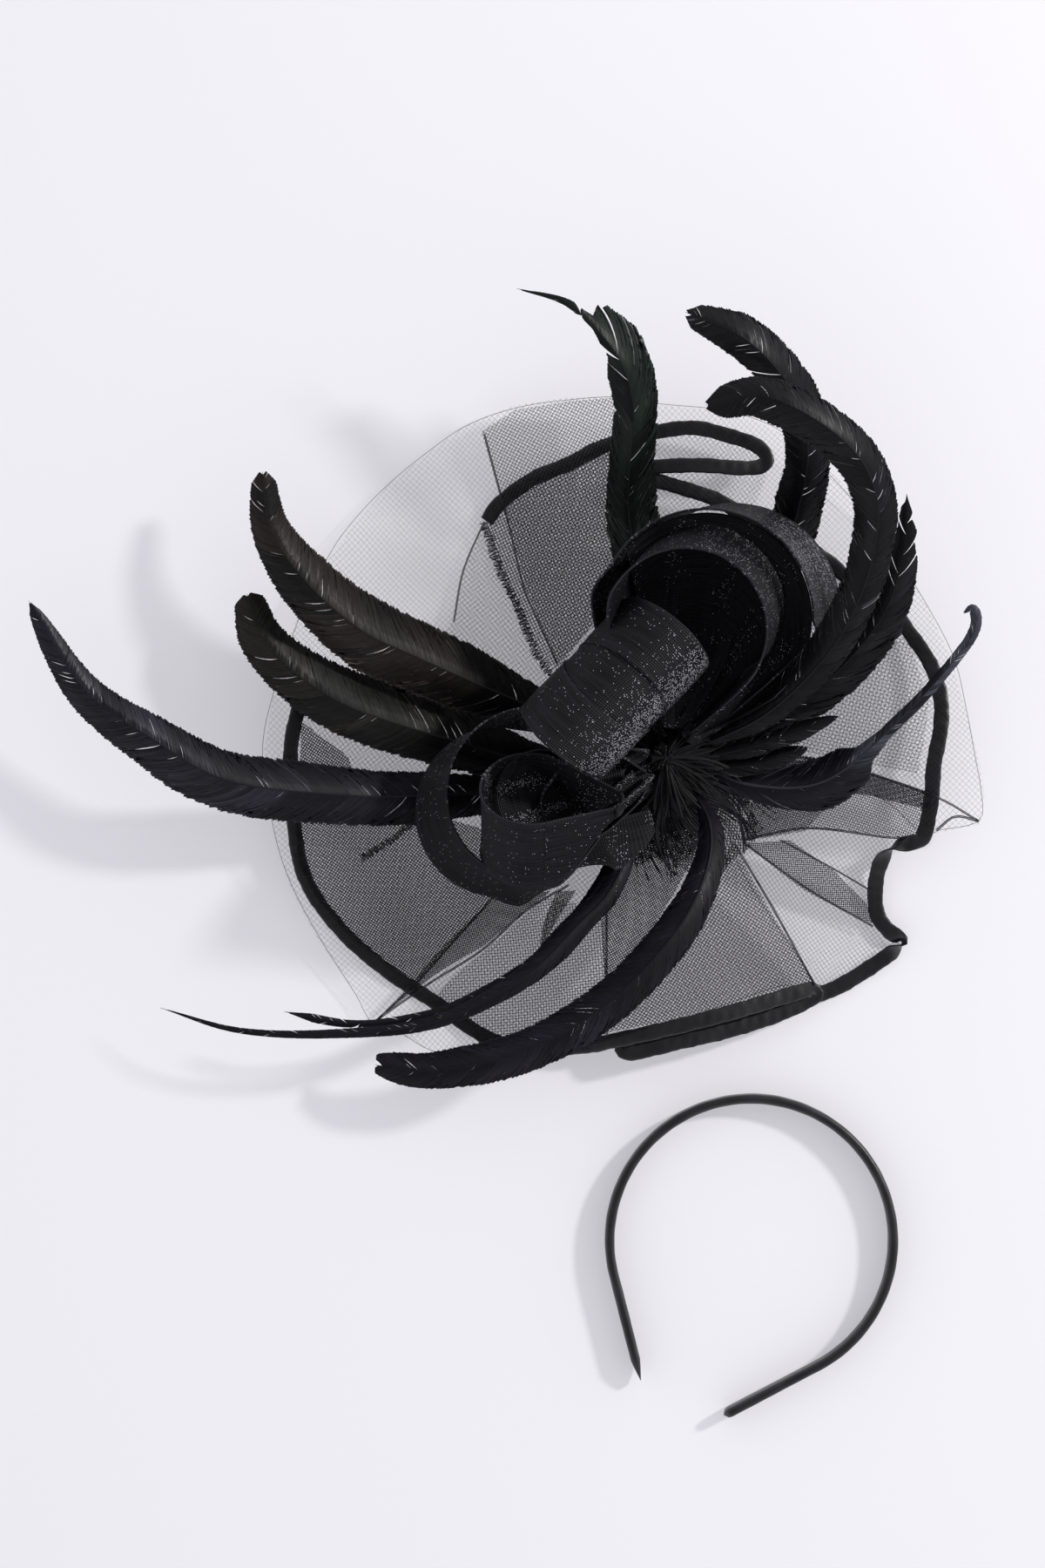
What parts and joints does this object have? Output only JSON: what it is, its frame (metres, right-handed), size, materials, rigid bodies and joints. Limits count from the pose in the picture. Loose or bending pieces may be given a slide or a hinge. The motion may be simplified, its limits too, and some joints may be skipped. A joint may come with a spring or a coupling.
{
  "type": "fascinator headpiece",
  "caption": "Black feather and ribbon-loop fascinator on a wavy net brim with a satin edge, a sprung clip and a brooch pin underneath, with its loose satin headband.",
  "frame": {"origin": "under the middle of the felt base, on the plane of the clip's flat thumb tab, which the piece rests on face up", "axes": "+Z out of the face of the brim, +X towards the side brim edge where the curled feather points, +Y towards the top feathers; the headband lies at -Y"},
  "size_m": [0.4078, 0.4782, 0.0952],
  "materials": {
    "felt": "black felt",
    "net": "open crinoline net, black, semi-gloss thread",
    "satin": "black satin",
    "ribbon": "stiff woven crinoline ribbon, charcoal black",
    "feather": "dyed black feather",
    "clip_steel": "nickel plated sheet steel",
    "pin_steel": "bright steel wire",
    "headband_plastic": "plain black plastic strip"
  },
  "bodies": {
    "fascinator": {"base_disc": "felt", "centre_knot": "ribbon", "clip_plate": "clip_steel", "clip_hinge_pin": "pin_steel", "clip_spring": "pin_steel", "brooch_bar": "clip_steel", "brooch_rivet": "pin_steel", "brooch_catch": "clip_steel", "bound_net": "net", "satin_binding": "satin", "open_net": "net", "centre_band_left": "ribbon", "centre_band_middle": "ribbon", "centre_band_right": "ribbon", "loop_left_front": "ribbon", "loop_left_back": "ribbon", "loop_right_front": "ribbon", "loop_right_back": "ribbon", "feather_left_long": "feather", "feather_left_middle": "feather", "feather_left_upper": "feather", "feather_top": "feather", "feather_right_back": "feather", "feather_right_arched": "feather", "feather_right_side": "feather", "feather_curled": "feather", "feather_short_upper": "feather", "feather_short_lower": "feather", "feather_bottom_long": "feather", "feather_bottom_thin": "feather", "feather_bottom_short": "feather"},
    "clip_jaw": {"clip_jaw": "clip_steel"},
    "brooch_pin": {"brooch_pin": "pin_steel"},
    "headband": {"headband_core": "headband_plastic", "headband_satin": "satin"}
  },
  "joints": [
    {"name": "clip_open", "type": "hinge", "parent": "fascinator", "child": "clip_jaw", "pos_m": [0, 0, 0.0036], "axis": [0, 1, 0], "range_deg": [0, 13], "stiffness_Nm_per_rad": 0.15, "springref_deg": -22.92},
    {"name": "brooch_pin_open", "type": "hinge", "parent": "fascinator", "child": "brooch_pin", "pos_m": [-0.014, 0.017, 0.0052], "axis": [0, 1, 0], "range_deg": [0, 75]},
    {"name": "headband_lift", "type": "slide", "parent": "fascinator", "child": "headband", "axis": [0, 0, 1], "range_m": [0, 0.15]}
  ]
}
